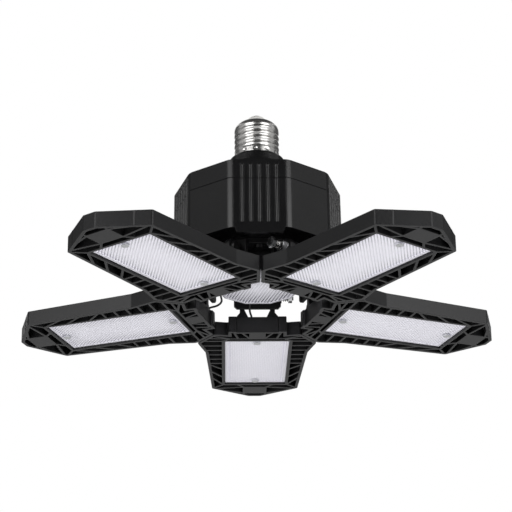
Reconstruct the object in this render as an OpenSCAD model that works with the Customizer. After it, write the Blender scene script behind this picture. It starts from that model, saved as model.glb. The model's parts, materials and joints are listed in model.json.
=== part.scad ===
// Five-leaf folding ceiling lamp with a screw cap.
// The lamp hangs from its cap. The origin is on the axis, on the rim of the neck
// where the screw shell leaves it, and +Z points up to the lamp holder.
// Five flat leaves lean out from a hub under the driver housing. Each turns up on
// its own cross screw, round the housing, from open (0) to closed (90 degrees).
// Inside a leaf, x is the distance from the lamp's axis, y runs sideways (plus is
// anticlockwise from above) and z rises from the leaf's underside.

/* [Lamp cap] */
// Radius of the screw shell over its thread
cap_r = 13.2; // [12:0.1:14]
// Straight length of the shell above the neck
cap_len = 19; // [15:0.5:24]
// Length of the shell inside the neck
cap_seat = 6; // [4:0.5:7]
// Sheet thickness of the shell
cap_wall = 0.5; // [0.3:0.1:0.8]
// Height of the shell's sloping shoulder
cap_shoulder = 4.8; // [3:0.2:7]
// Radius of the shell's top opening
cap_mouth_r = 8.4; // [7:0.1:9.5]
// Height of the insulator above the shoulder
insulator_rise = 3.8; // [2:0.2:6]
// Radius of the centre contact
contact_r = 4.8; // [3.5:0.1:6]
// Height of the centre contact
contact_h = 1.7; // [1:0.1:3]

/* [Housing] */
// Radius over the housing's ten corners
house_r = 48.7; // [46:0.1:51]
// Width of a ribbed face
rib_face_w = 32; // [28:0.5:34]
// Radius of the housing's upright corners
house_fillet = 8; // [3:0.5:10]
// Wall of the housing's two shells
house_wall = 2.2; // [1.6:0.1:3]
// Radius of the neck's rim
neck_rim_r = 16.4; // [15.6:0.1:18]
// Radius where the neck runs into the roof
neck_foot_r = 24; // [21:0.5:27]
// Radius of the neck's rounded rim
neck_lip = 1.5; // [0.8:0.1:2]
// Drop from the neck's rim to the start of the roof
neck_drop = 16.6; // [14.5:0.1:18]
// Drop from the start of the roof to the top edge of the sides
roof_drop = 5.7; // [4:0.1:6]
// Height of the top cover's side wall
cover_side = 10.9; // [8:0.1:13]
// Height of the driver case's side wall
case_side = 30.2; // [26:0.2:36]
// Thickness of the case's floor
floor_t = 2.5; // [2:0.1:4]
// Drop of the ribbed faces below the floor
skirt_drop = 3.1; // [2:0.1:3.6]
// Width of a ribbed face's lower edge
skirt_w = 25; // [20:0.5:26]
// How much a ribbed face narrows towards that edge, on each side
skirt_slant = 1.1; // [0:0.1:2]
// Open seam between the two shells
seam_gap = 0.4; // [0.2:0.05:0.6]
// Height of the tongue that lines up the two shells
tongue_h = 3; // [2:0.5:4]
// Thickness of the tongue
tongue_t = 1; // [0.8:0.1:1.4]
// Clearance between parts that plug together
fit_gap = 0.1; // [0.05:0.01:0.2]

/* [Grooves] */
// Number of grooves on a ribbed face
groove_count = 5; // [3:1:5]
// Distance between grooves
groove_pitch = 4.75; // [4:0.05:5.2]
// Half width and depth of a groove
groove_r = 1.25; // [0.8:0.05:1.4]
// From the sides' top edge down to the grooves' upper ends
groove_top = 2.4; // [2:0.1:4]
// From the floor's underside up to the grooves' lower ends
groove_foot = 2.4; // [2:0.1:5]

/* [Hub] */
// Distance of the hinge axes from the lamp's axis
hinge_r = 38; // [37:0.1:40]
// Drop from the case's underside to the hinge axes
hinge_drop = 7.5; // [7.2:0.1:9]
// Drop from the hinge axes to the hub's underside
hub_drop = 9.9; // [9:0.1:11]
// Radius over the corners of the ten-sided core and centre lens
core_r = 23.95; // [21:0.05:24.5]
// Thickness of the hub's top flange
flange_t = 2.8; // [2:0.1:2.8]
// Thickness of a hinge plate
plate_t = 2; // [1.6:0.1:2.6]
// Width of a hinge plate
plate_w = 27.5; // [22:0.5:28]
// Cut off the hinge plate's lower corners
plate_chamfer = 1.6; // [0.5:0.1:3]
// Gap between a hinge plate and the lugs in front of it
plate_gap = 1.7; // [1:0.1:2]
// Depth of the recess that holds the centre light board
board_recess = 3.6; // [3:0.1:4.4]
// Wall of the hub's core
core_wall = 2.2; // [1.8:0.1:3]
// Thickness of the centre lens
centre_lens_t = 2.2; // [1.6:0.1:2.6]
// Thickness of the core's ceiling over the centre light board
ceiling_t = 2.6; // [2:0.1:4]
// Radius of the way for the leads through that ceiling
lead_way_r = 3; // [2:0.1:4]

/* [Hinges] */
// Radius of the hinge screw
hinge_screw_r = 1.5; // [1.25:0.05:2]
// Radial running clearance of the hinge screw
running_gap = 0.05; // [0.02:0.01:0.1]
// Radius of a lug round the hinge screw
lug_r = 4; // [3.4:0.1:4.3]
// Radius of an ear round the hinge screw
ear_r = 4.6; // [3.6:0.1:4.6]
// Distance between the inner faces of a leaf's two ears
ear_span = 15.4; // [14:0.2:16]
// Thickness of an ear
ear_t = 2.6; // [2:0.1:3]
// Side gap between turning and standing faces
side_gap = 0.4; // [0.3:0.05:0.6]
// Radius of the hinge screw's head
head_r = 2.9; // [2.4:0.1:3.4]
// Height of the hinge screw's head
head_h = 1.6; // [1.2:0.1:2.4]
// Outer radius of the hinge washers
washer_r = 3.3; // [2.8:0.1:3.6]
// Thickness of the washers beside the friction sleeve
washer_t = 0.7; // [0.5:0.1:1]
// Outer radius of the friction sleeve
sleeve_r = 2.5; // [2.2:0.1:2.8]
// Length of the friction sleeve
sleeve_len = 2.4; // [1.8:0.1:3]
// Outer radius of the hinge spring
spring_r = 2.3; // [2.2:0.05:2.8]
// Wire diameter of the hinge spring
spring_wire = 0.55; // [0.45:0.05:0.6]
// Curls of the hinge spring
spring_curls = 3; // [2:0.5:3]
// Length of the hinge spring
spring_len = 4; // [3.8:0.1:4.6]
// Height of the nut
nut_h = 2.2; // [2:0.1:3]
// Corner radius of the nut
nut_r = 3.1; // [2.8:0.1:3.4]
// Length of screw that shows past the nut
screw_tail = 0.8; // [0.5:0.1:1.4]

/* [Leaf] */
// Drop from the hinge axis to the leaf's underside
leaf_drop = 24; // [23:0.1:26]
// Sag of an open leaf below level, in degrees
leaf_sag = 1.19; // [0:0.01:2]
// Height of the leaf's rim and ribs
leaf_h = 8.2; // [7.6:0.1:9]
// Height of the block that carries the ears
block_h = 9.7; // [9:0.1:11]
// Half of the gap between neighbouring leaves
leaf_gap = 0.27; // [0.2:0.01:0.6]
// From the hinge axis in to the block's inner face
block_back = 6.2; // [5.6:0.1:6.6]
// Width of the block
block_w = 34; // [30:0.5:35]
// Width of the shallow recess in the block's inner face
block_face_w = 25; // [22:0.2:28]
// Depth of that recess
block_face_in = 0.9; // [0.4:0.1:1]
// From the hinge axis out to the block's outer edge
block_out = 5.5; // [5:0.1:6.5]
// From the hinge axis in to the point where neighbouring leaves first meet
lobe_back = 2.2; // [1:0.1:2.6]
// From the hinge axis in to the corner beside the block
root_back = 0.7; // [0:0.1:1]
// From the hinge axis out to the end of the meeting edge
shoulder_reach = 10.6; // [8:0.2:13]
// Length of the narrow end past the meeting edge
shoulder_tip = 1.7; // [1:0.1:3]
// Width over those narrow ends
shoulder_w = 70; // [66:0.5:71]
// From the hinge axis out to the waist
waist_reach = 27; // [22:0.5:32]
// Width at the waist
waist_w = 61.5; // [58:0.5:66]
// From the hinge axis out to the outer corners
outer_reach = 91.3; // [88:0.1:96]
// Width over the outer corners
outer_w = 54.8; // [51:0.2:58]
// From the hinge axis out to the tip
tip_reach = 106.4; // [103:0.1:112]
// Width of the tip
tip_w = 7.6; // [5:0.2:14]
// Thickness of the rim wall
rim_t = 1.8; // [1.4:0.1:2.4]
// Thickness of a rib
rib_t = 1.3; // [0.9:0.1:1.7]
// Distance between the cross ribs
rib_pitch = 7.4; // [6.5:0.1:8.5]

/* [Leaf light] */
// From the hinge axis out to the lens
lens_start = 9.2; // [9:0.1:10.5]
// Length of the lens
lens_len = 74.1; // [70:0.1:76]
// Width of the lens
lens_w = 38.4; // [35:0.2:40]
// Thickness of the lens
lens_t = 1.6; // [1.2:0.1:1.8]
// Depth of the lens face above the leaf's underside
lens_sink = 1.1; // [0.5:0.1:1.4]
// Thickness of the lens gasket
gasket_t = 0.6; // [0.4:0.1:0.8]
// Width of the ledge that the gasket presses on
ledge_w = 1.5; // [1:0.1:2]
// Thickness of the light board
board_t = 1; // [0.8:0.1:1.2]
// Height of the light chips
chip_h = 0.5; // [0.3:0.1:0.6]
// Thickness of the plate behind the board
back_t = 1.8; // [1.4:0.1:2.2]
// Thickness of the wall round the lens
frame_wall = 1.6; // [1.2:0.1:2]
// Number of cooling fins on the back
fin_count = 9; // [5:1:11]
// Radius of the lens screws
lens_screw_r = 1.2; // [1:0.05:1.4]

/* [Leads] */
// Diameter of a leaf's lead
lead_d = 1.2; // [1:0.05:1.4]
// Drop from the hinge axis to the leads' holes in the hub
lead_hole_drop = 4.8; // [4.4:0.1:5.2]

/* [Screws] */
// Radius of the housing and hub screws
screw_r = 1.5; // [1.25:0.05:1.6]
// Length of a housing screw
case_screw_len = 14; // [12:0.5:16]

/* [Hidden] */
leaf_count = 5;
first_leaf_azimuth = 90;
leaf_step = 360 / leaf_count;
half_step = leaf_step / 2;
$fn = 48;

// Heights, from the neck's rim downwards
roof_z = -neck_drop;
side_z = roof_z - roof_drop;
seam_z = side_z - cover_side;
floor_z = seam_z - case_side;
skirt_z = floor_z - skirt_drop;
hinge_z = floor_z - hinge_drop;
hub_z = hinge_z - hub_drop;

// Housing outline
rib_half_angle = asin(rib_face_w / 2 / house_r);
rib_face_r = house_r * cos(rib_half_angle);
screw_head_r = screw_r * 1.85;
screw_head_h = screw_r * 1.2;
boss_r = screw_head_r + 1.4;
case_screw_at = rib_face_r - house_wall - tongue_t - boss_r;
case_boss_drop = 6;
floor_boss_h = 5;
board_z = floor_z + floor_t + floor_boss_h;
driver_board_t = 1.6;

// Hub
plate_out_r = hinge_r - ear_r - plate_gap;
plate_in_r = plate_out_r - plate_t;
core_flat_r = core_r * cos(half_step / 2);
hub_screw_at = (core_flat_r + plate_out_r) / 2;
centre_gasket_t = 0.6;
core_z = hub_z + centre_lens_t + centre_gasket_t;
centre_board_t = 1.2;
centre_board_r = core_flat_r - core_wall - 0.3;
lead_hole_r = lead_d / 2 + 0.3;

// Hinge rows, sideways from the leaf's middle
ear_in = ear_span / 2;
ear_out = ear_in + ear_t;
lug_half = ear_in - side_gap;
washer_y = -ear_out - side_gap;
sleeve_y = washer_y - washer_t;
second_washer_y = sleeve_y - sleeve_len;
spring_y = second_washer_y - washer_t;
nut_y = spring_y - spring_len;
tail_y = nut_y - nut_h - screw_tail;

// Leaf outline, anticlockwise from the tip
block_x = hinge_r - block_back;
block_end_x = hinge_r + block_out;
lobe_x = hinge_r - lobe_back;
root_x = hinge_r - root_back;
shoulder_x = hinge_r + shoulder_reach;
waist_x = hinge_r + waist_reach;
outer_x = hinge_r + outer_reach;
tip_x = hinge_r + tip_reach;
function meeting_half(x) = (x - leaf_drop * sin(leaf_sag)) * tan(half_step) - leaf_gap / cos(half_step);
leaf_edge = [
    [tip_x, tip_w / 2],
    [outer_x, outer_w / 2],
    [waist_x, waist_w / 2],
    [shoulder_x + shoulder_tip, shoulder_w / 2],
    [shoulder_x, meeting_half(shoulder_x)],
    [lobe_x, meeting_half(lobe_x)],
    [root_x, block_w / 2],
    [block_x, block_w / 2],
    [block_x, block_face_w / 2],
    [block_x + block_face_in, block_face_w / 2 - 0.6]
];
edge_fillets = [1.5, 1.5, 4, 1, 1, 1.6, 0.8, 0.6, 0.3, 0.3];
leaf_outline = both_sides(leaf_edge);
leaf_fillets = concat(edge_fillets, reversed(edge_fillets));
rim_line = [for (i = [5:-1:0]) leaf_edge[i]];

// Leaf light, from the underside up
lens_x = hinge_r + lens_start;
lens_end_x = lens_x + lens_len;
pocket_x = lens_x - fit_gap;
pocket_end_x = lens_end_x + fit_gap;
pocket_w = lens_w + 2 * fit_gap;
frame_x = pocket_x - frame_wall;
frame_end_x = pocket_end_x + frame_wall;
frame_w = pocket_w + 2 * frame_wall;
lens_top = lens_sink + lens_t;
ledge_z = lens_top + gasket_t;
back_z = ledge_z + board_t + 0.4;
fin_z = back_z + back_t;
light_board_len = lens_len - 2 * ledge_w - 1;
light_board_w = lens_w - 2 * ledge_w - 1;
lens_screw_xs = [lens_x + 4.3, lens_end_x - 4.3];
lens_boss_r = lens_screw_r + 1.3;
patch_w = 9.6;
patch_end_x = hinge_r + 4.9;
tip_patch_x = frame_end_x + 3.6;
tip_patch_end_x = tip_x - 5.4;
tip_patch_w = 15.2;

// Lead routes, chosen by hand as [across, sideways, down]. Across is 0 at the core's side, 1 at the
// hinge plate and 2 at the hinge axis. Down is 0 at the hub's hole, 1 at the hub's underside and 2
// where the lead ends inside the block.
short_route = [[-0.2, 4, -0.08], [0.06, 4, 0.08], [0.38, 4.2, 0.39], [0.7, 4.5, 0.78], [1.01, 4.5, 1.21],
    [1.28, 4, 1.44], [1.47, 3.6, 1.51], [1.6, 3.4, 1.7], [1.6, 3.4, 2]];
slack_route = [[-0.2, -3.6, -0.08], [0.03, -3.7, 0.08], [0.21, -4.2, 0.47], [0.23, -6.4, 0.86],
    [0.32, -9.2, 1.11], [0.67, -11.8, 1.25], [1.06, -12.9, 1.31], [1.4, -13.3, 1.34], [1.66, -13.4, 1.51],
    [1.69, -13.4, 1.74], [1.69, -13.4, 2]];
shown_routes = [short_route, slack_route, slack_route, slack_route, slack_route];
lead_hole_z = hinge_z - lead_hole_drop;
lead_end_z = hinge_z - leaf_drop + block_h - 1.7;
core_room = plate_in_r - core_flat_r;
function route_x(across) =
    lookup(across, [[-1, core_flat_r - core_room], [0, core_flat_r], [1, plate_in_r], [2, hinge_r]]);
function route_z(down) =
    lookup(down, [[-1, lead_hole_z + lead_d], [0, lead_hole_z], [1, hub_z], [2, lead_end_z]]);

// Colours
black_plastic = "#232326";
black_painted = "#1c1c1f";
nickel = "#c9c9cc";
zinc = "#b4b6b8";
lens_white = "#e6e4ef";
board_white = "#f3f3ee";
seal_grey = "#8f9092";
lead_black = "#101012";

// ---- Outline helpers ----
function unit(v) = v / norm(v);
function reversed(list) = [for (i = [len(list) - 1:-1:0]) list[i]];
function both_sides(half) = concat(half, [for (p = reversed(half)) [p.x, -p.y]]);

// Arc of radius r that rounds the corner b between its neighbours a and c
function corner_arc(a, b, c, r, steps) =
    let (u = unit(a - b),
         v = unit(c - b),
         half = acos(u * v) / 2,
         centre = b + unit(u + v) * r / sin(half),
         from = b + u * r / tan(half) - centre,
         to = b + v * r / tan(half) - centre,
         start = atan2(from.y, from.x),
         turn = (atan2(to.y, to.x) - start + 540) % 360 - 180)
    [for (k = [0:steps]) centre + r * [cos(start + turn * k / steps), sin(start + turn * k / steps)]];

function rounded(points, radii, steps) =
    let (n = len(points))
    [for (i = [0:n - 1])
        each corner_arc(points[(i + n - 1) % n], points[i], points[(i + 1) % n], radii[i], steps)];

// The same outline moved inwards by d on every side
function inset(points, d) =
    let (n = len(points))
    [for (i = [0:n - 1])
        let (u = unit(points[i] - points[(i + n - 1) % n]),
             v = unit(points[(i + 1) % n] - points[i]),
             left_u = [-u.y, u.x],
             left_v = [-v.y, v.x])
        points[i] + (left_u + left_v) * d / (1 + left_u * left_v)];

// A straight wall between two points of a plan
module bar(from, to, width) {
    side = [-(to - from).y, (to - from).x] / norm(to - from) * width / 2;
    polygon([from - side, to - side, to + side, from + side]);
}

module box_between(low, high) {
    translate(low)
        cube(high - low);
}

// ---- Tubes ----
function tangent(path, i) = unit(path[min(i + 1, len(path) - 1)] - path[max(i - 1, 0)]);
function square_to(v, t) = unit(v - t * (v * t));
function normals(path, i = 0, last = [0, 1, 0]) =
    i == len(path) ? [] :
    let (now = square_to(last, tangent(path, i)))
    concat([now], normals(path, i + 1, now));
function tube_points(path, r, sides) =
    let (sides_up = normals(path))
    [for (i = [0:len(path) - 1], s = [0:sides - 1])
        let (a = 360 * s / sides, n = sides_up[i], b = cross(tangent(path, i), n))
        path[i] + r * (cos(a) * n + sin(a) * b)];
function tube_faces(rings, sides) = concat(
    [[for (s = [0:sides - 1]) s]],
    [[for (s = [sides - 1:-1:0]) (rings - 1) * sides + s]],
    [for (k = [0:rings - 2], s = [0:sides - 1])
        let (a = k * sides + s, b = k * sides + (s + 1) % sides)
        each [[a, a + sides, b + sides], [a, b + sides, b]]]
);
module tube(path, r, sides) {
    polyhedron(points = tube_points(path, r, sides), faces = tube_faces(len(path), sides));
}

// ---- Placing ----
function leaf_azimuth(i) = first_leaf_azimuth + leaf_step * (i - 1);
module at_leaf(i) {
    rotate([0, 0, leaf_azimuth(i)])
        children();
}
module at_each_leaf() {
    for (i = [1:leaf_count])
        at_leaf(i)
            children();
}
module at_each_rib_face() {
    for (i = [1:leaf_count])
        rotate([0, 0, leaf_azimuth(i) + half_step])
            children();
}
// Moves a leaf from its own frame to its place, with its sag about the hinge axis
module place_leaf(i) {
    at_leaf(i)
        translate([hinge_r, 0, hinge_z])
            rotate([0, leaf_sag, 0])
                translate([-hinge_r, 0, -leaf_drop])
                    children();
}
// A rod along the leaf's hinge axis between two sideways places
module hinge_rod(r, y1, y2) {
    translate([hinge_r, y2, 0])
        rotate([90, 0, 0])
            cylinder(r = r, h = y2 - y1);
}

// ---- Lamp cap ----
module screw_shell() {
    color(nickel)
        rotate_extrude()
            polygon([
                [cap_r - cap_wall, -cap_seat], [cap_r, -cap_seat], [cap_r, cap_len],
                [cap_r - 0.9, cap_len + cap_shoulder * 0.45], [cap_mouth_r + 0.6, cap_len + cap_shoulder],
                [cap_mouth_r, cap_len + cap_shoulder], [cap_mouth_r, cap_len + cap_shoulder - cap_wall],
                [cap_r - 0.9 - cap_wall, cap_len + cap_shoulder * 0.45 - cap_wall / 2],
                [cap_r - cap_wall, cap_len]
            ]);
}

module cap_insulator() {
    color(lens_white)
        rotate_extrude()
            polygon([
                [0, cap_len + cap_shoulder - 3], [cap_mouth_r - fit_gap, cap_len + cap_shoulder - 3],
                [cap_mouth_r - fit_gap, cap_len + cap_shoulder],
                [cap_mouth_r - 0.8, cap_len + cap_shoulder + insulator_rise * 0.35],
                [contact_r + 0.7, cap_len + cap_shoulder + insulator_rise],
                [0, cap_len + cap_shoulder + insulator_rise]
            ]);
}

module centre_contact() {
    contact_z = cap_len + cap_shoulder + insulator_rise;
    color(nickel)
        rotate_extrude()
            polygon([
                [0, contact_z], [contact_r, contact_z], [contact_r, contact_z + contact_h * 0.3],
                [contact_r * 0.85, contact_z + contact_h * 0.7], [contact_r * 0.5, contact_z + contact_h * 0.95],
                [0, contact_z + contact_h]
            ]);
}

// ---- Housing ----
// Ten-sided plan with alternate wide ribbed faces and plain faces, moved in by depth
function house_plan(depth) =
    let (r = house_r - depth / cos(half_step / 2))
    [for (i = [1:leaf_count], side = [-1, 1])
        let (a = leaf_azimuth(i) + half_step + side * rib_half_angle)
        r * [cos(a), sin(a)]];
module house_prism(depth, z1, z2) {
    plan = house_plan(depth);
    radii = [for (p = plan) max(house_fillet - depth, 1)];
    translate([0, 0, z1])
        linear_extrude(z2 - z1)
            polygon(rounded(plan, radii, 6));
}

// Height of the domed roof at radius r
function roof_height(r) =
    roof_z - roof_drop * pow(min(max(r - neck_foot_r, 0) / (rib_face_r - neck_foot_r), 1), 1.25);
roof_radii = concat([for (k = [0:8]) neck_foot_r + (rib_face_r - neck_foot_r) * k / 8], [house_r + 2]);
neck_rim = [for (a = [90:-22.5:22.5]) [neck_rim_r - neck_lip * (1 - cos(a)), neck_lip * (sin(a) - 1)]];
neck_curve = [for (a = [0:15:75])
    [neck_rim_r + (neck_foot_r - neck_rim_r) * (1 - cos(a)), -neck_lip + (roof_z + neck_lip) * sin(a)]];

module roof_solid() {
    rotate_extrude($fn = 96)
        polygon(concat(
            [[0, seam_z - 1], [0, 0]],
            neck_rim,
            neck_curve,
            [for (r = roof_radii) [r, roof_height(r)]],
            [[house_r + 2, seam_z - 1]]
        ));
}
module roof_hollow() {
    wall = house_wall * 1.1;
    rotate_extrude($fn = 96)
        polygon(concat(
            [[0, seam_z - 1], [0, -cap_seat - 2], [cap_r, -cap_seat - 2]],
            [for (p = neck_curve) if (p.y < -cap_seat - 3) [p.x - wall, p.y - wall]],
            [for (r = roof_radii) [r, roof_height(r) - wall]],
            [[house_r + 2, seam_z - 1]]
        ));
}

// Upright half-round grooves with ball ends, cut across the seam of both shells
module face_grooves() {
    top = side_z - groove_top - groove_r;
    foot = floor_z + groove_foot + groove_r;
    at_each_rib_face()
        for (k = [0:groove_count - 1])
            translate([rib_face_r + groove_r * 0.25, (k - (groove_count - 1) / 2) * groove_pitch, 0]) {
                translate([0, 0, foot])
                    cylinder(r = groove_r, h = top - foot, $fn = 16);
                for (z = [foot, top])
                    translate([0, 0, z])
                        sphere(r = groove_r, $fn = 16);
            }
}

module top_cover() {
    color(black_plastic)
        difference() {
            union() {
                difference() {
                    intersection() {
                        house_prism(0, seam_z, 0);
                        roof_solid();
                    }
                    intersection() {
                        house_prism(house_wall, seam_z - 1, 0);
                        roof_hollow();
                    }
                }
                intersection() {
                    at_each_rib_face()
                        translate([case_screw_at, 0, seam_z])
                            cylinder(r = boss_r, h = -seam_z);
                    roof_solid();
                }
            }
            translate([0, 0, -cap_seat])
                cylinder(r = cap_r + fit_gap / 2, h = cap_seat + 1);
            translate([0, 0, -cap_seat - 3])
                cylinder(r = cap_r - 4, h = 4);
            at_each_rib_face()
                translate([case_screw_at, 0, seam_z - 1])
                    cylinder(r = screw_r + running_gap, h = case_screw_len - case_boss_drop + 2);
            face_grooves();
        }
}

// Lower edge of a ribbed face, hanging below the floor with slanted sides
module skirt() {
    foot = skirt_w / 2;
    root = foot + skirt_slant;
    translate([rib_face_r - house_wall, 0, 0])
        rotate([90, 0, 90])
            linear_extrude(house_wall)
                polygon([[-root, floor_z + 0.5], [-root, floor_z], [-foot, skirt_z], [foot, skirt_z],
                    [root, floor_z], [root, floor_z + 0.5]]);
}

module driver_case() {
    tongue_in = house_wall + fit_gap;
    color(black_plastic)
        difference() {
            union() {
                difference() {
                    union() {
                        house_prism(0, floor_z, seam_z - seam_gap);
                        house_prism(tongue_in, seam_z - 1, seam_z + tongue_h);
                    }
                    house_prism(house_wall, floor_z + floor_t, seam_z - tongue_h);
                    house_prism(tongue_in + tongue_t, seam_z - tongue_h - 1, seam_z + tongue_h + 1);
                }
                at_each_rib_face() {
                    translate([case_screw_at, 0, floor_z])
                        cylinder(r = boss_r, h = case_side);
                    translate([hub_screw_at, 0, floor_z])
                        cylinder(r = screw_r + 1.6, h = floor_t + floor_boss_h);
                    skirt();
                }
            }
            at_each_rib_face() {
                translate([case_screw_at, 0, floor_z - 1])
                    cylinder(r = screw_head_r + 0.3, h = case_side - case_boss_drop + 1);
                translate([case_screw_at, 0, floor_z])
                    cylinder(r = screw_r + running_gap, h = case_side + 1);
                translate([hub_screw_at, 0, floor_z - 1])
                    cylinder(r = screw_r + running_gap, h = floor_t + floor_boss_h);
            }
            translate([0, 0, floor_z - 1])
                cylinder(r = core_flat_r / 3, h = floor_t + 2);
            face_grooves();
        }
}

module case_screws() {
    color(zinc)
        at_each_rib_face()
            translate([case_screw_at, 0, seam_z - case_boss_drop]) {
                cylinder(r = screw_r, h = case_screw_len);
                translate([0, 0, -screw_head_h])
                    cylinder(r = screw_head_r, h = screw_head_h);
            }
}

// ---- Driver ----
module driver_board() {
    color("#2f5d3a")
        translate([0, 0, board_z])
            difference() {
                cylinder(r = case_screw_at - boss_r - 1, h = driver_board_t);
                translate([0, 0, -1])
                    cylinder(r = core_flat_r / 4, h = driver_board_t + 2);
            }
}
driver_top = board_z + driver_board_t;
module bulk_capacitor() {
    color("#2a2f45")
        translate([-17, 0, driver_top]) {
            cylinder(r = 8, h = 20);
            cylinder(r = 7.6, h = 21);
        }
}
module power_transformer() {
    color("#c7a94e")
        translate([0, 0, driver_top]) {
            translate([8, -9, 0])
                cube([17, 18, 4]);
            translate([10, -7, 4])
                cube([13, 14, 9]);
            translate([8, -9, 13])
                cube([17, 18, 3]);
        }
}
module bridge_rectifier() {
    color("#202022")
        translate([-6, 13, driver_top]) {
            translate([0, 0, 3])
                cube([14, 4, 9]);
            for (k = [0:3])
                translate([1.2 + k * 3.6, 1.6, 0])
                    cube([0.8, 0.8, 3]);
        }
}
module filter_inductor() {
    color("#8c4a2f")
        translate([0, -17, driver_top]) {
            cylinder(r = 6, h = 1.5);
            cylinder(r = 4.4, h = 9);
            translate([0, 0, 7.5])
                cylinder(r = 6, h = 1.5);
        }
}

// ---- Hub ----
// Plate and thick lug that carry one leaf's cross screw
module hinge_seat() {
    foot = plate_w / 2 - plate_chamfer;
    translate([plate_in_r, 0, 0])
        rotate([90, 0, 90])
            linear_extrude(plate_t)
                polygon([[-plate_w / 2, floor_z - flange_t / 2], [-plate_w / 2, hub_z + plate_chamfer],
                    [-foot, hub_z], [foot, hub_z], [plate_w / 2, hub_z + plate_chamfer],
                    [plate_w / 2, floor_z - flange_t / 2]]);
    box_between([core_flat_r - 1, -lug_half, hinge_z - lug_r], [hinge_r, lug_half, hinge_z + lug_r]);
    translate([0, 0, hinge_z])
        hinge_rod(lug_r, -lug_half, lug_half);
}

module hinge_hub() {
    ceiling_z = core_z + board_recess;
    color(black_painted)
        difference() {
            union() {
                translate([0, 0, floor_z - flange_t])
                    cylinder(r = plate_out_r, h = flange_t, $fn = 96);
                translate([0, 0, core_z])
                    cylinder(r = core_r, h = floor_z - flange_t / 2 - core_z, $fn = 2 * leaf_count);
                at_each_leaf()
                    hinge_seat();
            }
            translate([0, 0, core_z - 1])
                cylinder(r = core_flat_r - core_wall, h = board_recess + 1);
            translate([0, 0, ceiling_z + ceiling_t])
                cylinder(r = core_flat_r - core_wall, h = floor_z - ceiling_z);
            translate([0, 0, core_z])
                cylinder(r = lead_way_r, h = floor_z - core_z);
            at_each_rib_face()
                translate([hub_screw_at, 0, floor_z - flange_t - 1])
                    cylinder(r = screw_r + running_gap, h = flange_t + 2);
            at_each_leaf() {
                translate([0, 0, hinge_z])
                    hinge_rod(hinge_screw_r + running_gap, -lug_half - 1, lug_half + 1);
                for (route = [short_route, slack_route])
                    translate([core_flat_r - core_wall - 2, route[0].y, lead_hole_z])
                        rotate([0, 90, 0])
                            cylinder(r = lead_hole_r, h = core_wall + 3);
            }
        }
}

module hub_screws() {
    under = floor_z - flange_t;
    color(zinc)
        at_each_rib_face()
            translate([hub_screw_at, 0, 0]) {
                translate([0, 0, under])
                    cylinder(r = screw_r, h = flange_t + floor_t + floor_boss_h - 2);
                translate([0, 0, under - screw_head_h])
                    cylinder(r = screw_head_r, h = screw_head_h);
            }
}

module centre_light_board() {
    board_top = core_z + board_recess;
    color(board_white) {
        translate([0, 0, board_top - centre_board_t])
            cylinder(r = centre_board_r, h = centre_board_t);
        for (ring = [[6.5, 5], [13.5, 10]], k = [0:ring[1] - 1])
            rotate([0, 0, 360 * k / ring[1]])
                translate([ring[0] - 1.4, -1.75, board_top - centre_board_t - chip_h])
                    cube([2.8, 3.5, chip_h + 0.1]);
    }
}

module centre_gasket() {
    color(seal_grey)
        translate([0, 0, core_z - centre_gasket_t])
            difference() {
                cylinder(r = core_r - 0.6, h = centre_gasket_t, $fn = 2 * leaf_count);
                translate([0, 0, -1])
                    cylinder(r = core_flat_r - core_wall, h = centre_gasket_t + 2);
            }
}

module centre_lens() {
    color(lens_white)
        translate([0, 0, hub_z])
            cylinder(r = core_r, h = centre_lens_t, $fn = 2 * leaf_count);
}

// ---- Hinge hardware, one set at each leaf ----
module at_each_hinge() {
    at_each_leaf()
        translate([0, 0, hinge_z])
            children();
}

module hinge_screws() {
    head_y = ear_out + side_gap;
    color(zinc)
        at_each_hinge() {
            hinge_rod(hinge_screw_r, tail_y, head_y + 0.5);
            hinge_rod(head_r, head_y, head_y + head_h);
        }
}

module hinge_washers() {
    color(zinc)
        at_each_hinge()
            difference() {
                for (y = [washer_y, second_washer_y])
                    hinge_rod(washer_r, y - washer_t, y);
                hinge_rod(hinge_screw_r + running_gap, second_washer_y - washer_t - 1, washer_y + 1);
            }
}

module hinge_sleeves() {
    color(seal_grey)
        at_each_hinge()
            difference() {
                hinge_rod(sleeve_r, sleeve_y - sleeve_len, sleeve_y);
                hinge_rod(hinge_screw_r + running_gap, sleeve_y - sleeve_len - 1, sleeve_y + 1);
            }
}

// Coil that starts and ends clear of the washer and the nut by a hair
spring_steps = 8;
spring_seat = spring_wire / 2 + 0.02;
spring_path = [for (k = [0:spring_curls * spring_steps])
    let (a = 360 * k / spring_steps,
         y = spring_y - spring_seat - (spring_len - 2 * spring_seat) * k / (spring_curls * spring_steps))
    [hinge_r + (spring_r - spring_wire / 2) * cos(a), y, (spring_r - spring_wire / 2) * sin(a)]];
spring_least_gap = min([for (i = [0:len(spring_path) - 1], j = [i + spring_steps - 2:1:len(spring_path) - 1])
    norm(spring_path[i] - spring_path[j])]) - spring_wire;
echo(spring_least_gap = spring_least_gap);

module hinge_springs() {
    color(nickel)
        at_each_hinge()
            tube(spring_path, spring_wire / 2, 6);
}

module hinge_nuts() {
    color(zinc)
        at_each_hinge()
            difference() {
                translate([hinge_r, nut_y, 0])
                    rotate([90, 0, 0])
                        cylinder(r = nut_r, h = nut_h, $fn = 6);
                hinge_rod(hinge_screw_r + running_gap, nut_y - nut_h - 1, nut_y + 1);
            }
}

// ---- Leaf frame ----
// Place on the rim at distance x from the lamp's axis, on the wall's middle line
function on_rim(x) = [x, lookup(x, rim_line) - rim_t / 2];
function on_frame(x) = [x, (pocket_w + frame_wall) / 2];

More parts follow.
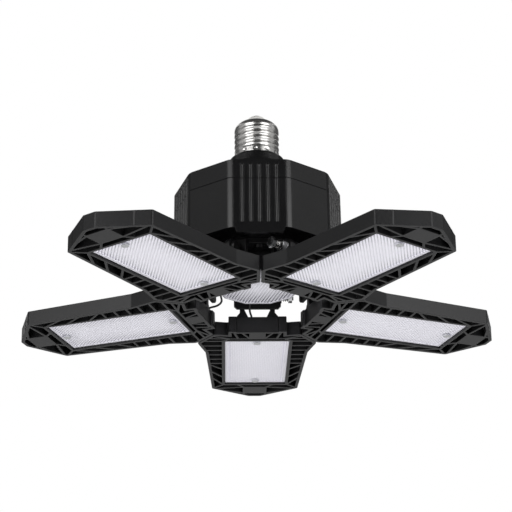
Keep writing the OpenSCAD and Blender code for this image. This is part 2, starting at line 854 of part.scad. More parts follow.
// Ribs of one side: cross ribs, then slanted ones towards the outer end
module side_ribs() {
    first = frame_x + frame_wall / 2 + 0.4;
    for (k = [0:5])
        bar(on_frame(first + k * rib_pitch), on_rim(first + k * rib_pitch), rib_t);
    last = first + 5 * rib_pitch;
    for (k = [0:2])
        bar(on_frame(min(last + 11 + k * 14, frame_end_x - 0.8)), on_rim(last + 2 + k * 11.5), rib_t);
}

// Fan of ribs in the lobe beside the block
module lobe_ribs() {
    hub_point = [block_end_x - 0.6, block_w / 2 - 0.8];
    bar([block_end_x - 0.6, -1], hub_point, rib_t);
    bar(hub_point, on_rim(lobe_x + 2.6), rib_t);
    bar(hub_point, on_rim(lobe_x + 6.4), rib_t);
    bar(hub_point, on_frame(frame_x + 0.8), rib_t);
    bar([block_x + 1, block_face_w / 2 + 1.2], [patch_end_x - 1, block_face_w / 2 - 1], rib_t);
    bar([block_x + 2, patch_w / 2 + 4.2], [patch_end_x - 1, patch_w / 2], rib_t);
}

// Ribs and flat patch of the tip
module tip_ribs() {
    patch_corner = [tip_patch_x + 0.4, tip_patch_w / 2 - 0.6];
    patch_far = [tip_patch_end_x - 0.6, tip_patch_w / 2 - 0.8];
    frame_corner = [frame_end_x - 0.8, frame_w / 2 - 0.8];
    bar([frame_end_x - 0.8, 11.4], patch_corner, rib_t);
    bar(patch_corner, on_rim(outer_x + 0.5), rib_t);
    bar(frame_corner, on_rim(outer_x - 1), rib_t);
    bar(patch_far, on_rim(outer_x + 4.2), rib_t);
    bar(patch_far, on_rim(tip_x - 2.8), rib_t);
}

module leaf_plan() {
    difference() {
        polygon(rounded(leaf_outline, leaf_fillets, 3));
        polygon(inset(leaf_outline, rim_t));
    }
    for (side = [0, 1])
        mirror([0, side, 0]) {
            side_ribs();
            lobe_ribs();
            tip_ribs();
        }
    translate([block_x + 1, -patch_w / 2])
        square([patch_end_x - block_x - 1, patch_w]);
    translate([tip_patch_x, -tip_patch_w / 2])
        square([tip_patch_end_x - tip_patch_x, tip_patch_w]);
    translate([frame_x, -frame_w / 2])
        square([frame_end_x - frame_x, frame_w]);
}

// Pan behind the lens: pocket for the lens, ledge for its gasket, recess for the board
module lens_pocket() {
    box_between([pocket_x, -pocket_w / 2, -1], [pocket_end_x, pocket_w / 2, ledge_z]);
    box_between([pocket_x + ledge_w, -pocket_w / 2 + ledge_w, ledge_z - 1],
        [pocket_end_x - ledge_w, pocket_w / 2 - ledge_w, back_z]);
}
module fin_gaps() {
    pitch = pocket_w / fin_count;
    fin_t = pitch * 0.35;
    for (k = [0:fin_count - 1])
        box_between([pocket_x, -pocket_w / 2 + k * pitch + fin_t / 2, fin_z],
            [pocket_end_x, -pocket_w / 2 + (k + 1) * pitch - fin_t / 2, leaf_h + 1]);
}

// Block over the inner end, hollow from below beside its solid middle
module leaf_block() {
    plan = both_sides(concat([[block_end_x, block_w / 2]], [for (i = [7:9]) leaf_edge[i]]));
    translate([0, 0, leaf_h - 2])
        linear_extrude(block_h - leaf_h + 2)
            polygon(rounded(plan, [0.8, 0.6, 0.3, 0.3, 0.3, 0.3, 0.6, 0.8], 3));
}

// Ear with a round head on the hinge axis and a foot that spreads over the block, higher inwards
module ear(side) {
    y_in = side * ear_in;
    y_out = side * ear_out;
    spread = side * 2.4;
    low = block_h - 0.5;
    box_between([hinge_r - ear_r, min(y_in, y_out), block_h - 1],
        [hinge_r + ear_r, max(y_in, y_out), leaf_drop]);
    translate([0, 0, leaf_drop])
        hinge_rod(ear_r, min(y_in, y_out), max(y_in, y_out));
    translate([hinge_r - ear_r, 0, 0])
        rotate([90, 0, 90])
            linear_extrude(2 * ear_r)
                polygon([[y_in - spread, low], [y_out + spread, low], [y_out + spread, block_h],
                    [y_out, block_h + 3], [y_in, block_h + 5.2], [y_in - spread, block_h]]);
}

// Hole for a lead where its route ends, allowing for the leaf's sag
module lead_hole(end) {
    x = hinge_r + (route_x(end.x) - hinge_r) * cos(leaf_sag) + (leaf_drop - block_h) * sin(leaf_sag);
    translate([x, end.y, 5])
        cylinder(r = lead_hole_r, h = block_h);
}

module leaf_frame(i) {
    color(black_painted)
        place_leaf(i)
            difference() {
                union() {
                    linear_extrude(leaf_h)
                        leaf_plan();
                    leaf_block();
                    ear(1);
                    ear(-1);
                }
                difference() {
                    lens_pocket();
                    for (x = lens_screw_xs)
                        translate([x, 0, lens_top])
                            cylinder(r = lens_boss_r, h = back_z);
                }
                fin_gaps();
                for (x = lens_screw_xs)
                    translate([x, 0, 0])
                        cylinder(r = lens_screw_r + running_gap, h = leaf_h - 1);
                translate([0, 0, leaf_drop])
                    hinge_rod(hinge_screw_r + running_gap, -ear_out - 1, ear_out + 1);
                for (route = [short_route, slack_route])
                    lead_hole(route[len(route) - 1]);
            }
}

// ---- Leaf light ----
module leaf_light_board(i) {
    mid_x = (lens_x + lens_end_x) / 2;
    board_low = back_z - board_t;
    chip_rows = 3;
    chip_columns = 7;
    color(board_white)
        place_leaf(i)
            difference() {
                union() {
                    translate([mid_x - light_board_len / 2, -light_board_w / 2, board_low])
                        cube([light_board_len, light_board_w, board_t]);
                    for (a = [0:chip_columns - 1], b = [0:chip_rows - 1])
                        translate([mid_x + (a - (chip_columns - 1) / 2) * 8.6 - 1.75,
                            (b - (chip_rows - 1) / 2) * 10.4 - 1.4, board_low - chip_h])
                            cube([3.5, 2.8, chip_h + 0.1]);
                }
                for (x = lens_screw_xs)
                    translate([x, 0, 0])
                        cylinder(r = lens_boss_r + 0.3, h = leaf_h);
            }
}

module leaf_gasket(i) {
    color(seal_grey)
        place_leaf(i)
            difference() {
                box_between([lens_x, -lens_w / 2, lens_top], [lens_end_x, lens_w / 2, ledge_z]);
                box_between([lens_x + ledge_w, -lens_w / 2 + ledge_w, lens_top - 1],
                    [lens_end_x - ledge_w, lens_w / 2 - ledge_w, ledge_z + 1]);
            }
}

module leaf_lens(i) {
    color(lens_white)
        place_leaf(i)
            difference() {
                box_between([lens_x, -lens_w / 2, lens_sink], [lens_end_x, lens_w / 2, lens_top]);
                for (x = lens_screw_xs)
                    translate([x, 0, 0])
                        cylinder(r = lens_screw_r + running_gap, h = leaf_h);
            }
}

module leaf_screws(i) {
    head_t = 0.9;
    color(zinc)
        place_leaf(i)
            for (x = lens_screw_xs)
                translate([x, 0, 0]) {
                    translate([0, 0, lens_sink - head_t])
                        cylinder(r = lens_screw_r * 1.8, h = head_t);
                    translate([0, 0, lens_sink])
                        cylinder(r = lens_screw_r, h = back_z + back_t - lens_sink - 1);
                }
}

module leaf_lead(i) {
    route = [for (p = shown_routes[i - 1]) [route_x(p.x), p.y, route_z(p.z)]];
    color(lead_black)
        at_leaf(i)
            tube(route, lead_d / 2, 8);
}

screw_shell();
cap_insulator();
centre_contact();
top_cover();
driver_case();
driver_board();
bulk_capacitor();
power_transformer();
bridge_rectifier();
filter_inductor();
case_screws();
hinge_hub();
hub_screws();
centre_light_board();
centre_gasket();
centre_lens();
hinge_screws();
hinge_washers();
hinge_sleeves();
hinge_springs();
hinge_nuts();
for (i = [1:leaf_count]) {
    leaf_frame(i);
    leaf_light_board(i);
    leaf_gasket(i);
    leaf_lens(i);
    leaf_screws(i);
    leaf_lead(i);
}
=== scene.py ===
# %% [markdown]
# # Folding five-leaf ceiling light
# The lamp screws into an ordinary holder by its bright cap. Under the cap hangs a black
# housing, and round its foot five flat leaves turn on cross screws. The solids come
# packed, at their real size and place, and nothing here moves them. This lesson adds the
# looks: a finish for every part, and the fine forms that a lamp maker rolls, coils or
# moulds, such as the thread, the springs and the prisms of the lenses.

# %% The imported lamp
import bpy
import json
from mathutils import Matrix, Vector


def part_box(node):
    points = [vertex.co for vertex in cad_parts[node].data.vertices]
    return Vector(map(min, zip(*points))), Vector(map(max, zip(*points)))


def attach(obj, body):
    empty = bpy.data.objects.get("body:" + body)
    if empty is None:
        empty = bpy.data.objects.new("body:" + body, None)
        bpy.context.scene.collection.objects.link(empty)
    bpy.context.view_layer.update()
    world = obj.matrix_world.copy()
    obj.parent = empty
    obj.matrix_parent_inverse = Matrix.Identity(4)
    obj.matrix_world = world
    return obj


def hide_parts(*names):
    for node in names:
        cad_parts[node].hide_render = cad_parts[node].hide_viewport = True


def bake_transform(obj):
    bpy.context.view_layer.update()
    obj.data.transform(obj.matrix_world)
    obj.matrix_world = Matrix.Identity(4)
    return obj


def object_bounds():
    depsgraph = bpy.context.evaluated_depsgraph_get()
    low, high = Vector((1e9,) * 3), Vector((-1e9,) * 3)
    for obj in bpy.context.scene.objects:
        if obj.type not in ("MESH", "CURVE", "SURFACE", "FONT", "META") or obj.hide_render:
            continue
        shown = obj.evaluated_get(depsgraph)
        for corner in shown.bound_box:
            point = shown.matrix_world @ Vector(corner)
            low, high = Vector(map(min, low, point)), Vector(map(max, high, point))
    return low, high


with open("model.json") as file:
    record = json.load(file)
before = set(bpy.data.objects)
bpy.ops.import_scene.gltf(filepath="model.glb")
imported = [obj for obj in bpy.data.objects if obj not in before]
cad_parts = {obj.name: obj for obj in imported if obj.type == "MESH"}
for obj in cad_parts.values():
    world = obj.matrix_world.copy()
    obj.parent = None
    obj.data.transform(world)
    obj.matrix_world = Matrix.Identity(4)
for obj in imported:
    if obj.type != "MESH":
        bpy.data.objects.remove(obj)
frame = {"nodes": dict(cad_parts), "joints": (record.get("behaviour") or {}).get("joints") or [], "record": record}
cad_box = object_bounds()

# %% [markdown]
# ## Where a leaf lies
# All five leaves are the same casting, turned a fifth of a circle each. It pays to model
# a piece once, in a leaf's own directions, and to copy it five times. In those directions
# x runs out from the lamp's axis, y sideways, and z up from the leaf's underside. The
# hinge gives the leaf's direction, and the flat underside of its lens gives its sag.

# %% A leaf's own directions
import json
import math

import bmesh
import bpy
from mathutils import Matrix, Quaternion, Vector

MM = 0.001


def points_of(node):
    return [vertex.co for vertex in frame["nodes"][node].data.vertices]


def leaf_number(joint):
    return joint["child"].rsplit("_", 1)[1]


def hub_matrix(joint):
    """Turns the lamp's own directions to one leaf's, about the lamp's axis."""
    pivot = joint["pos_m"]
    return Matrix.Rotation(math.atan2(pivot[1], pivot[0]), 4, "Z")


def leaf_matrix(joint):
    """Takes a leaf's own frame to the place of that leaf on the lamp."""
    number = leaf_number(joint)
    to_hub = hub_matrix(joint).inverted()
    pivot = to_hub @ Vector(joint["pos_m"])
    faces = frame["nodes"]["leaf_lens_" + number].data.polygons
    down = min((to_hub @ face.normal for face in faces), key=lambda normal: normal.z)
    depth = max((to_hub @ point - pivot).dot(down)
                for point in points_of("leaf_frame_" + number))
    sag = math.atan2(-down.x, -down.z)
    return (hub_matrix(joint) @ Matrix.Translation(pivot) @ Matrix.Rotation(sag, 4, "Y")
            @ Matrix.Translation((-pivot.x, 0, -depth)))


def seen_from(matrix, points):
    """The same points in the frame that matrix stands for."""
    inverse = matrix.inverted()
    return [inverse @ point for point in points]


def box_of(points):
    """Lowest and highest corner of some points."""
    return (Vector(min(p[k] for p in points) for k in range(3)),
            Vector(max(p[k] for p in points) for k in range(3)))


hinges = frame["joints"]
first_hub = hub_matrix(hinges[0])
first_leaf = leaf_matrix(hinges[0])
hinge_r = Vector(hinges[0]["pos_m"][:2]).length
hinge_z = hinges[0]["pos_m"][2]
tilt = first_leaf.to_quaternion().rotation_difference(first_hub.to_quaternion())
print("hinges", round(hinge_r / MM, 1), "mm out; a leaf sags",
      round(math.degrees(tilt.angle), 2), "degrees")

# %% [markdown]
# ## Camera
# The picture looks up at the lamp from below, a little from its left, so the undersides
# of all five leaves show. A long lens from about 0.8 m keeps the two near leaves from
# looking larger than they are.

# %% Camera
CAMERA_AZIMUTH = math.radians(-1.455)
CAMERA_ELEVATION = math.radians(-21.44)
CAMERA_ROLL = math.radians(-0.694)
CAMERA_DISTANCE = 0.78658
LENS_MM = 98.6
SENSOR_MM = 36
CAMERA_AIM = Vector((-0.0012, 0, -0.0604))
CIRCLED_POINT = Vector((0, 0, -0.0949))  # angles and distance are measured from here


def direction(azimuth, elevation):
    """Unit vector that points from the lamp to a place round it; azimuth 0 is the front."""
    return Vector((math.sin(azimuth) * math.cos(elevation),
                   -math.cos(azimuth) * math.cos(elevation), math.sin(elevation)))


def aimed(place, aim):
    return (aim - place).to_track_quat("-Z", "Y")


stand = CIRCLED_POINT + CAMERA_DISTANCE * direction(CAMERA_AZIMUTH, CAMERA_ELEVATION)
bpy.ops.object.camera_add(location=stand)
camera = bpy.context.object
camera.rotation_mode = "QUATERNION"
camera.rotation_quaternion = aimed(stand, CAMERA_AIM) @ Quaternion((0, 0, 1), CAMERA_ROLL)
camera.data.sensor_width = SENSOR_MM
camera.data.lens = LENS_MM
bpy.context.scene.camera = camera
bpy.context.scene.view_settings.view_transform = "Standard"
print("camera at", [round(x, 3) for x in stand])

# %% [markdown]
# ## Finishes as sums
# A finish is a graph of small nodes, and a graph is hard to read. Written as sums it is
# easy: `base + 0.2 * wear` adds the two Math nodes by itself. `Value` wraps one output and
# knows how to add, take away and multiply. `Finish` holds a material while it is built,
# and its `node` method adds any other node: its type, its settings, its inputs.

# %% Values that add their own Math nodes
EDGE_SAMPLES = 6
FLAT_ALIKE = 0.995   # how alike the rounded and the plain normal are on an open face
SHARP_ALIKE = 0.86   # the same on a sharp edge


class Value:
    """A number or colour that varies over a surface."""

    def __init__(self, finish, socket):
        self.finish = finish
        self.socket = socket

    def combined(self, operation, a, b):
        return self.finish.node("Math", {"operation": operation}, {0: a, 1: b})

    def __add__(self, other):
        return self.combined("ADD", self, other)

    __radd__ = __add__

    def __sub__(self, other):
        return self.combined("SUBTRACT", self, other)

    def __rsub__(self, other):
        return self.combined("SUBTRACT", other, self)

    def __mul__(self, other):
        return self.combined("MULTIPLY", self, other)

    __rmul__ = __mul__


class Finish:
    """A material while it is being built."""

    def __init__(self, name):
        self.material = bpy.data.materials.new(name)
        self.material.use_nodes = True
        self.tree = self.material.node_tree
        self.tree.nodes.clear()

    def node(self, kind, settings={}, inputs={}, output=0):
        made = self.tree.nodes.new("ShaderNode" + kind)
        for name, setting in settings.items():
            setattr(made, name, setting)
        for name, value in inputs.items():
            if isinstance(value, Value):
                self.tree.links.new(value.socket, made.inputs[name])
            else:
                made.inputs[name].default_value = value
        return Value(self, made.outputs[output])

    def place(self):
        return self.node("TexCoord", output="Object")

    def clouds(self, size, detail=2.0, at=None):
        """Soft random patches from 0 to 1, each about size metres across."""
        return self.node("TexNoise", {}, {"Vector": at or self.place(), "Scale": 1 / size,
                                          "Detail": detail})

    def ramp(self, value, low, high):
        """0 at low, 1 at high and straight between them; low may be the larger one."""
        return self.node("MapRange", {"clamp": True},
                         {"Value": value, "From Min": low, "From Max": high})

    def mixed(self, share, colour, other):
        """One colour where share is 0 and the other where it is 1."""
        return self.node("Mix", {"data_type": "RGBA"},
                         {0: share, 6: opaque(colour), 7: opaque(other)}, output=2)

    def edges(self, radius):
        """1 on sharp edges and 0 on open faces, from how far a rounded edge would turn."""
        rounded = self.node("Bevel", {"samples": EDGE_SAMPLES}, {"Radius": radius})
        flat = self.node("NewGeometry", output="Normal")
        alike = self.node("VectorMath", {"operation": "DOT_PRODUCT"},
                          {0: rounded, 1: flat}, output="Value")
        return self.ramp(alike, FLAT_ALIKE, SHARP_ALIKE)

    def openness(self, reach):
        """1 on open faces, less where walls stand nearer than reach."""
        return self.node("AmbientOcclusion", {"samples": EDGE_SAMPLES, "only_local": True},
                         {"Distance": reach}, output="AO")

    def surface(self, height, depth, rounding=None, **inputs):
        """Ends the material: a bumped, perhaps edge-rounded surface of these values."""
        bump = {"Height": height, "Distance": depth}
        if rounding:
            bump["Normal"] = self.node("Bevel", {"samples": EDGE_SAMPLES}, {"Radius": rounding})
        inputs["Normal"] = self.node("Bump", {}, bump)
        self.node_out(self.node("BsdfPrincipled", {}, inputs))
        return self.material

    def node_out(self, shader):
        end = self.tree.nodes.new("ShaderNodeOutputMaterial")
        self.tree.links.new(shader.socket, end.inputs["Surface"])


def opaque(colour):
    return colour if isinstance(colour, Value) else (*colour, 1.0)


# %% [markdown]
# ## Room
# A lamp is best shown in a plain bright room. The background is white for the eye and for
# mirrors, and a plain level of light for everything else, so a colour shows about as it is
# written. The lamps add the shape: one from each side, one from above and one from below.

# %% White room with a plain level of light
ROOM_LIGHT = 0.5


def white_room():
    world = bpy.data.worlds.new("white_room")
    bpy.context.scene.world = world
    world.use_nodes = True
    tree = world.node_tree
    tree.nodes.clear()
    path = tree.nodes.new("ShaderNodeLightPath")
    seen = path.outputs["Is Camera Ray"]
    for ray in ("Is Glossy Ray", "Is Transmission Ray"):
        both = tree.nodes.new("ShaderNodeMath")
        both.operation = "MAXIMUM"
        tree.links.new(seen, both.inputs[0])
        tree.links.new(path.outputs[ray], both.inputs[1])
        seen = both.outputs[0]
    level = tree.nodes.new("ShaderNodeMapRange")
    level.inputs["To Min"].default_value = ROOM_LIGHT
    tree.links.new(seen, level.inputs["Value"])
    background = tree.nodes.new("ShaderNodeBackground")
    background.inputs["Color"].default_value = (1, 1, 1, 1)
    tree.links.new(level.outputs[0], background.inputs["Strength"])
    end = tree.nodes.new("ShaderNodeOutputWorld")
    tree.links.new(background.outputs[0], end.inputs["Surface"])


white_room()
print("room light", ROOM_LIGHT)

# %% Lamps
# name: azimuth, elevation and distance round the lamp, width, height, power
LAMPS = {
    "left_box": (-38, 12, 1.3, 0.3, 1.0, 3.0),
    "right_box": (38, 12, 1.3, 0.3, 1.0, 3.0),
    "top_box": (150, 65, 1.4, 0.9, 0.9, 5.0),
    "low_box": (10, -65, 0.6, 0.8, 0.8, 3.0),
}
lamp_middle = (cad_box[0] + cad_box[1]) / 2


def placed_round(azimuth, elevation, distance):
    return lamp_middle + distance * direction(math.radians(azimuth), math.radians(elevation))


def soft_box(name, azimuth, elevation, distance, width, height, power):
    place = placed_round(azimuth, elevation, distance)
    bpy.ops.object.light_add(type="AREA", location=place)
    light = bpy.context.object
    light.name = name
    light.rotation_mode = "QUATERNION"
    light.rotation_quaternion = aimed(place, lamp_middle)
    light.data.shape = "RECTANGLE"
    light.data.size = width
    light.data.size_y = height
    light.data.energy = power
    light.visible_camera = False
    light.visible_glossy = False


for name, setup in LAMPS.items():
    soft_box(name, *setup)
print("lamps:", ", ".join(LAMPS))

# %% [markdown]
# ## What shiny parts mirror
# A bright cap and smooth black plastic show the room round them. Straight behind the lamp
# that is the white background, and below it the floor. Elsewhere a studio is darker: a
# dark screen stands behind the camera, one hangs overhead, a grey one stands on each side,
# and a dark one on each side towards the rear. A tall bright card stands to the left and to
# the right of the camera. The cards draw the white bands on the cap and the light lines on
# the housing's rounded corners. Only mirrored rays see the six screens and two cards. They
# add no light, but they do hide the white background in their directions.

# %% Screens and cards
# name: azimuth, elevation, distance, width, height, brightness
CARDS = {
    "front_screen": (0, 5, 1.6, 3.2, 2.2, 0.04),
    "upper_screen": (0, 78, 1.5, 3.0, 3.0, 0.07),
    "left_screen": (-79, 5, 1.6, 1.2, 2.4, 0.34),
    "right_screen": (79, 5, 1.6, 1.2, 2.4, 0.45),
    "left_rear_screen": (-125, 5, 1.6, 1.6, 2.4, 0.10),
    "right_rear_screen": (125, 5, 1.6, 1.6, 2.4, 0.10),
    "left_card": (-36, -6, 1.0, 0.66, 1.35, 3.0),
    "right_card": (40.5, -6, 1.0, 0.66, 1.35, 3.0),
}


def mirrored_card(name, azimuth, elevation, distance, width, height, strength):
    place = placed_round(azimuth, elevation, distance)
    bpy.ops.mesh.primitive_plane_add(size=1, location=place)
    card = bpy.context.object
    card.name = name
    card.rotation_mode = "QUATERNION"
    card.rotation_quaternion = aimed(place, lamp_middle)
    card.scale = (width, height, 1)
    card.visible_camera = False
    card.visible_diffuse = False
    card.visible_transmission = False
    card.visible_shadow = False
    finish = Finish(name)
    finish.node_out(finish.node("Emission", {}, {"Strength": strength}))
    card.data.materials.append(finish.material)


for name, setup in CARDS.items():
    mirrored_card(name, *setup)
print("mirrored only:", ", ".join(CARDS))

# %% [markdown]
# ## Floor
# The floor lies far below the lamp. For the eye it glows in part, so that it stays pale
# and still takes a shadow. Mirrored rays see it without the glow. From below it is clear,
# because the lamp is best seen from there.

# %% Floor
FLOOR_Z = -0.62
FLOOR_SIZE = 8.0
FLOOR_GREY = 0.8
FLOOR_GLOW = 0.45


def pale_floor():
    bpy.ops.mesh.primitive_plane_add(size=FLOOR_SIZE, location=(0, 0, FLOOR_Z))
    floor = bpy.context.object
    floor.name = "floor"
    finish = Finish("pale_floor")
    seen = finish.node("LightPath", output="Is Camera Ray")
    shaded = finish.node("BsdfDiffuse", {}, {"Color": (FLOOR_GREY, FLOOR_GREY, FLOOR_GREY, 1)})
    glow = finish.node("Emission", {}, {"Strength": 1.0})
    both = finish.node("MixShader", {}, {0: FLOOR_GLOW * seen, 1: shaded, 2: glow})
    below = finish.node("NewGeometry", output="Backfacing")
    clear = finish.node("BsdfTransparent")
    finish.node_out(finish.node("MixShader", {}, {0: below, 1: both, 2: clear}))
    floor.data.materials.append(finish.material)


pale_floor()
print("floor at", FLOOR_Z)

# %% [markdown]
# ## Black plastic and black castings
# The housing is moulded plastic with a fine grain and a slight sheen. The hub and the
# leaves are die castings under black powder paint, which leaves a soft orange peel and
# wears thin on the sharp rims of the ribs. A plain black shader looks like a hole, so
# both get a grain in the surface, patches of unequal gloss, and edges that are rounded a
# little where they catch the light. Both also get a painted highlight: lighter colour on
# sharp edges, which on the castings comes in patches and stands for the worn rims too. The
# castings get painted shade in their pockets, darker where walls stand close.

# %% Housing and casting
def housing_black():
    finish = Finish("housing_black")
    grain = finish.clouds(0.5 * MM)
    patches = finish.clouds(22 * MM, detail=4)
    rims = finish.edges(0.7 * MM)
    # The sharp edges are lighter in colour: a painted highlight.
    colour = finish.mixed(0.35 * rims + 0.25 * patches,
                          (0.006, 0.006, 0.0065), (0.016, 0.016, 0.0165))
    return finish.surface(height=grain, depth=0.02 * MM, rounding=0.2 * MM, **{
        "Base Color": colour, "Roughness": 0.17 + 0.08 * patches + 0.03 * grain,
        "Specular IOR Level": 0.45})


def frame_black():
    finish = Finish("frame_black")
    peel = finish.clouds(0.9 * MM, detail=3)
    patches = finish.clouds(16 * MM, detail=4)
    rims = finish.edges(0.4 * MM)
    # Lighter rims in patches: partly worn paint, partly a painted highlight along the edges.
    worn_and_lit_rims = rims * finish.ramp(finish.clouds(5 * MM, detail=5), 0.42, 0.62)
    # Painted shade: the colour goes near black in pockets, where walls stand close.
    painted_pocket_shade = finish.ramp(finish.openness(5 * MM), 0.85, 0.45)
    open_colour = finish.mixed(0.5 * worn_and_lit_rims + 0.2 * patches,
                               (0.007, 0.007, 0.0075), (0.028, 0.028, 0.029))
    colour = finish.mixed(painted_pocket_shade, open_colour, (0.0008, 0.0008, 0.0009))
    return finish.surface(height=peel, depth=0.035 * MM, rounding=0.35 * MM, **{
        "Base Color": colour, "Roughness": 0.30 + 0.12 * patches - 0.06 * rims,
        "Specular IOR Level": 0.35})


# %% [markdown]
# ## Metals
# The cap is thin nickel-plated sheet, bright with faint rolling marks round it. Washers,
# nuts and the screws of case and lenses are zinc-plated, which is greyer and a little
# cloudy. The cross screws and the hub's screws are blackened steel, and the springs are
# bare bright wire. All are metal, so their colour is the colour of what they mirror, and
# patches of roughness tell them apart.

# %% Nickel, zinc, black steel and spring wire
MARK_SIZE = 3 * MM
MARK_STRETCH = 14  # how much longer a rolling mark is than it is high


def metal(name, colour, dull_colour, roughness, cloud_size, scratch):
    finish = Finish(name)
    spot = finish.place()
    patches = finish.clouds(cloud_size, detail=5, at=spot)
    flat = finish.node("Mapping", {}, {"Vector": spot, "Scale": (1, 1, MARK_STRETCH)})
    marks = finish.clouds(MARK_SIZE, detail=4, at=flat)
    return finish.surface(height=marks, depth=scratch, **{
        "Base Color": finish.mixed(patches, colour, dull_colour), "Metallic": 1.0,
        "Roughness": roughness + 0.16 * patches * marks})


def nickel_cap():
    return metal("nickel_cap", (0.80, 0.79, 0.77), (0.54, 0.535, 0.53), 0.19, 9 * MM, 0.01 * MM)


def zinc_steel():
    return metal("zinc_steel", (0.86, 0.87, 0.88), (0.68, 0.69, 0.71), 0.20, 2 * MM, 0.004 * MM)


def black_steel():
    return metal("black_steel", (0.05, 0.05, 0.052), (0.10, 0.10, 0.10), 0.30, 2 * MM, 0.004 * MM)


def spring_steel():
    return metal("spring_steel", (0.74, 0.73, 0.71), (0.55, 0.54, 0.53), 0.16,
                 1.5 * MM, 0.003 * MM)


# %% [markdown]
# ## Lenses and light boards
# The lenses are clear plastic pressed with rows of small pyramids, over white boards with
# light chips. Unlit, such a lens shows whitish and a little lavender. Near its rims it shows
# the dark frame instead of the board, and there each row of slopes reads as a dark stroke.
# A milky, glossy surface gives that without the long render of true glass, with the strokes
# as painted shade. The lens meshes carry two numbers for it: `inset`, how far a point is
# from the rim, and `painted_slope_shade`, how dark a slope is painted. The slopes that lean
# to the lamp's left are the dark ones, as if they caught less light. This painted shade stays
# on the lens when a leaf turns, where true strokes would change with the view. A faint violet
# line runs 3 mm inside the rim.

# %% Lens, board and chips
def lens_clear():
    finish = Finish("lens_clear")
    patches = finish.clouds(14 * MM, detail=3)
    ripple = finish.clouds(1.2 * MM)
    painted_slope_shade = finish.node("Attribute", {"attribute_name": "painted_slope_shade"}, output="Fac")
    inset = finish.node("Attribute", {"attribute_name": "inset"}, output="Fac")
    line = finish.ramp(inset, 2.4 * MM, 2.9 * MM) * finish.ramp(inset, 3.6 * MM, 3.1 * MM)
    pale = finish.mixed(patches, (0.80, 0.79, 0.86), (0.86, 0.85, 0.91))
    lined = finish.mixed(0.3 * line, pale, (0.52, 0.48, 0.66))
    # Painted shade: slopes near the rim go near black, for the dark frame that clear prisms would show.
    colour = finish.mixed(painted_slope_shade, lined, (0.012, 0.012, 0.03))
    return finish.surface(height=ripple, depth=0.01 * MM, **{
        "Base Color": colour, "Roughness": 0.16 + 0.10 * patches,
        "Coat Weight": 0.5, "Coat Roughness": 0.08})


def light_board():
    finish = Finish("light_board")
    patches = finish.clouds(6 * MM)
    return finish.surface(height=finish.clouds(0.6 * MM), depth=0.01 * MM, **{
        "Base Color": finish.mixed(patches, (0.78, 0.78, 0.75), (0.86, 0.86, 0.84)),
        "Roughness": 0.35 + 0.1 * patches})


def cap_ceramic():
    finish = Finish("cap_ceramic")
    patches = finish.clouds(4 * MM, detail=4)
    return finish.surface(height=patches, depth=0.05 * MM, **{
        "Base Color": finish.mixed(patches, (0.76, 0.75, 0.72), (0.86, 0.85, 0.82)),
        "Roughness": 0.18 + 0.15 * patches})


# %% [markdown]
# ## Parts that the housing hides
# The driver's parts are seen only when the lamp is taken apart, and then they should look
# like what they are: a green board, a sleeved can, a taped core, a copper winding.

# %% Driver, seals and leads
WINDING_BANDS = 500.0


def plain(name, colour, other, size, roughness, depth=0.02 * MM):
    """A finish of two close colours in patches, with a bump of the same patches."""
    finish = Finish(name)
    patches = finish.clouds(size, detail=4)
    return finish.surface(height=patches, depth=depth, **{
        "Base Color": finish.mixed(patches, colour, other),
        "Roughness": roughness + 0.12 * patches})


def circuit_board():
    return plain("circuit_board", (0.020, 0.10, 0.045), (0.035, 0.16, 0.07), 1.4 * MM, 0.3)


def capacitor_sleeve():
    return plain("capacitor_sleeve", (0.02, 0.025, 0.06), (0.03, 0.035, 0.08), 5 * MM, 0.25)


def transformer_core():
    return plain("transformer_core", (0.55, 0.40, 0.10), (0.45, 0.32, 0.09), 3 * MM, 0.4)


def copper_winding():
    finish = Finish("copper_winding")
    turns = finish.node("TexWave", {"wave_type": "BANDS", "bands_direction": "Z"},
                        {"Vector": finish.place(), "Scale": WINDING_BANDS})
    # The low grooves between turns are darker in colour: painted shade.
    return finish.surface(height=turns, depth=0.2 * MM, **{
        "Base Color": finish.mixed(turns, (0.20, 0.06, 0.02), (0.60, 0.24, 0.09)), "Metallic": 1.0,
        "Roughness": 0.25 + 0.15 * turns})


def seal_rubber():
    return plain("seal_rubber", (0.16, 0.16, 0.17), (0.24, 0.24, 0.25), 0.6 * MM, 0.7, 0.08 * MM)


def lead_black():
    return plain("lead_black", (0.008, 0.008, 0.009), (0.016, 0.016, 0.017), 1.5 * MM, 0.32,
                 0.01 * MM)


# %% Every part gets the finish that its slot names
MAKERS = [housing_black, frame_black, nickel_cap, zinc_steel, black_steel, spring_steel,
          lens_clear, light_board, cap_ceramic, circuit_board, capacitor_sleeve,
          transformer_core, copper_winding, seal_rubber, lead_black]
finishes = {maker.__name__: maker() for maker in MAKERS}


def wear_finish(piece, slot):
    piece.data.materials.clear()
    piece.data.materials.append(finishes[slot])


for part in frame["record"]["subparts"]:
    wear_finish(frame["nodes"][part["node"]], part["material_slot"])

# %% [markdown]
# ## Tools for modelling by hand
# Each new piece starts as a primitive, is shaped in edit mode, and ends as one clean mesh
# with its place in its points. These few helpers open a piece, pick points, edges or
# faces by a rule, and apply a modifier.

# %% Helpers for edit mode
DOUBLED = 0.002 * MM


def only(piece):
    bpy.ops.object.select_all(action="DESELECT")
    piece.select_set(True)
    bpy.context.view_layer.objects.active = piece


def open_up(piece):
    """Opens one piece for editing with nothing picked."""
    only(piece)
    bpy.ops.object.mode_set(mode="EDIT")
    bpy.ops.mesh.select_all(action="DESELECT")


def close_up():
    bpy.ops.object.mode_set(mode="OBJECT")


